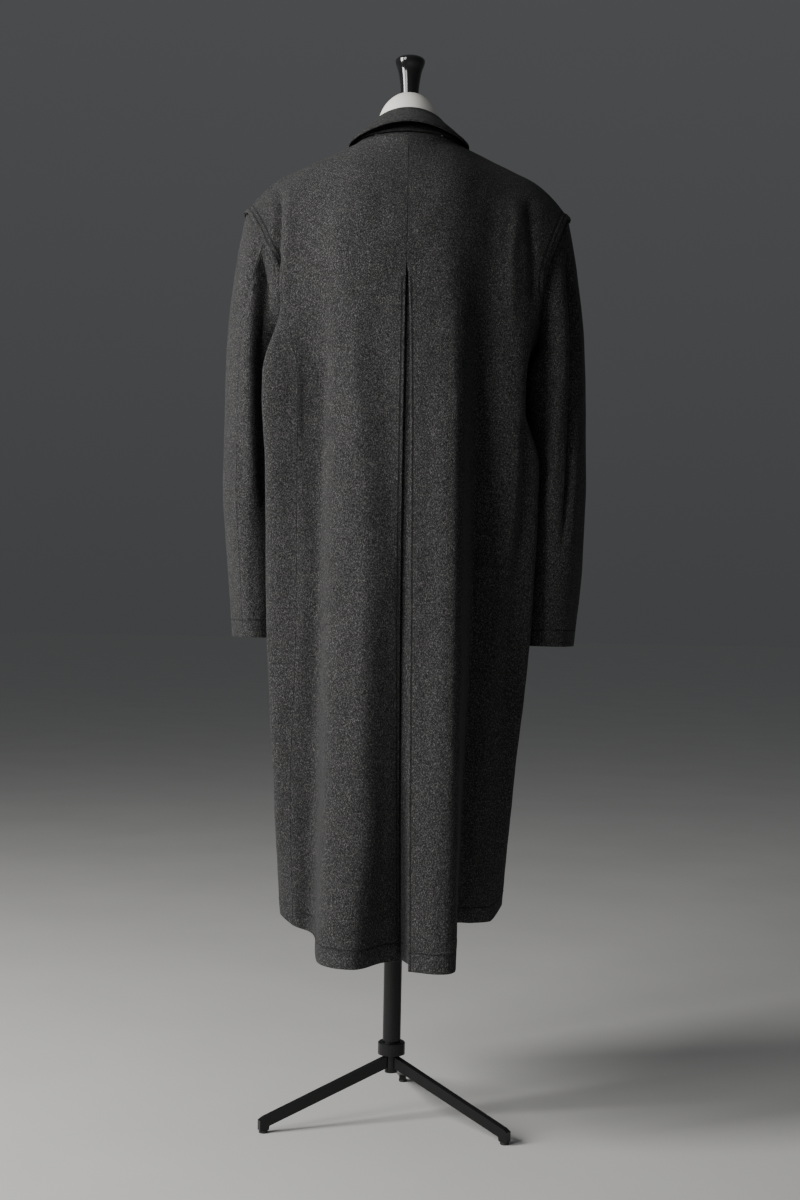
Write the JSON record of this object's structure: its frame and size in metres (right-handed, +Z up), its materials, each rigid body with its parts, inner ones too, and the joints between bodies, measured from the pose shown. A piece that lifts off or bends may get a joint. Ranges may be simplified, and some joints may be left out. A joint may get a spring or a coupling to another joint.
{
  "type": "wool overcoat on dress form",
  "caption": "Long wool overcoat with turned-down collar, lapped shoulders and a deep centre-back pleat, on a limbless dress form with pole and splayed-leg stand.",
  "frame": {"origin": "on the floor, below the middle of the bounding box", "axes": "+Z up along the pole, -Y the way the coat's front faces, +X towards the coat's left sleeve"},
  "size_m": [0.5188, 0.4324, 1.5163],
  "materials": {
    "wool": "charcoal melange wool fleece, soft matt nap",
    "collar_wool": "charcoal melange wool fleece, soft matt nap",
    "button_horn": "dark satin",
    "jersey": "smooth stretched jersey cover",
    "cap_white": "smooth matt white",
    "black_gloss": "high gloss black",
    "black_metal": "gloss black paint",
    "rubber": "matt black"
  },
  "bodies": {
    "root": {"back_left": "wool", "back_right": "wool", "pleat_insert": "wool", "front_left": "wool", "front_right": "wool", "collar": "collar_wool", "sleeve_top_left": "wool", "sleeve_under_left": "wool", "sleeve_top_right": "wool", "sleeve_under_right": "wool", "button_1": "button_horn", "button_2": "button_horn", "button_3": "button_horn", "button_4": "button_horn", "form_torso": "jersey", "neck_cap": "cap_white", "finial": "black_gloss", "pole": "black_metal", "pole_ring": "black_metal", "hub": "black_metal", "leg_1": "black_metal", "leg_2": "black_metal", "leg_3": "black_metal", "foot_1": "rubber", "foot_2": "rubber", "foot_3": "rubber"}
  },
  "joints": []
}
